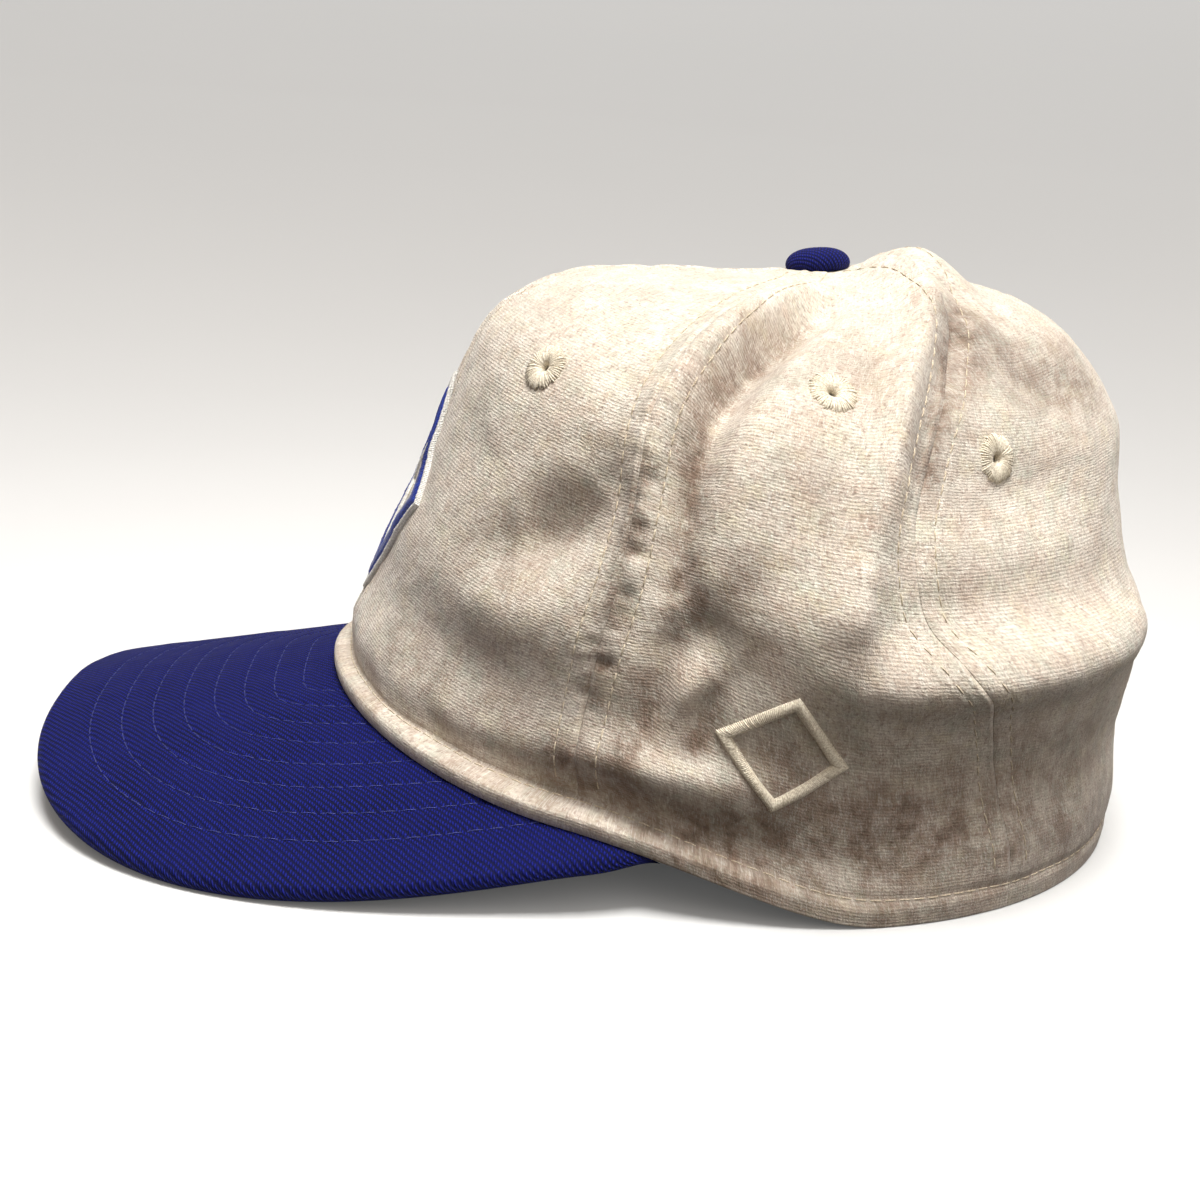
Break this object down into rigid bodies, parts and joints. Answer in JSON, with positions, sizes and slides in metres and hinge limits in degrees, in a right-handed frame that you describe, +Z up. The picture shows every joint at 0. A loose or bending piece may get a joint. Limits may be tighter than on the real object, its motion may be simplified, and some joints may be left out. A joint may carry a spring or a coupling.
{
  "type": "fitted baseball cap",
  "caption": "Fitted baseball cap with a slumped wool melton panel crown, stitched twill peak, covered button, embroidered eyelets and a rolled hem.",
  "frame": {"origin": "middle of the whole cap's footprint, on the surface that it rests on", "axes": "-Y towards the tip of the peak (the wearer's front), +X the wearer's left, +Z up through the button"},
  "size_m": [0.1802, 0.2632, 0.1321],
  "materials": {
    "crown_wool": "heathered oatmeal wool melton, matt and slightly fuzzy",
    "peak_twill": "royal blue twill with fine diagonal ribs",
    "cream_thread": "cream embroidery thread with a soft satin sheen",
    "blue_thread": "blue embroidery thread with a soft satin sheen",
    "sweatband_cloth": "plain woven cotton band"
  },
  "bodies": {
    "root": {"front_panel_left": "crown_wool", "side_panel_left": "crown_wool", "back_panel_left": "crown_wool", "front_panel_right": "crown_wool", "side_panel_right": "crown_wool", "back_panel_right": "crown_wool", "peak": "peak_twill", "button": "peak_twill", "sweatband": "sweatband_cloth", "eyelet_front_left": "cream_thread", "eyelet_side_left": "cream_thread", "eyelet_back_left": "cream_thread", "eyelet_front_right": "cream_thread", "eyelet_side_right": "cream_thread", "eyelet_back_right": "cream_thread", "front_emblem": "blue_thread", "side_emblem": "cream_thread"}
  },
  "joints": []
}
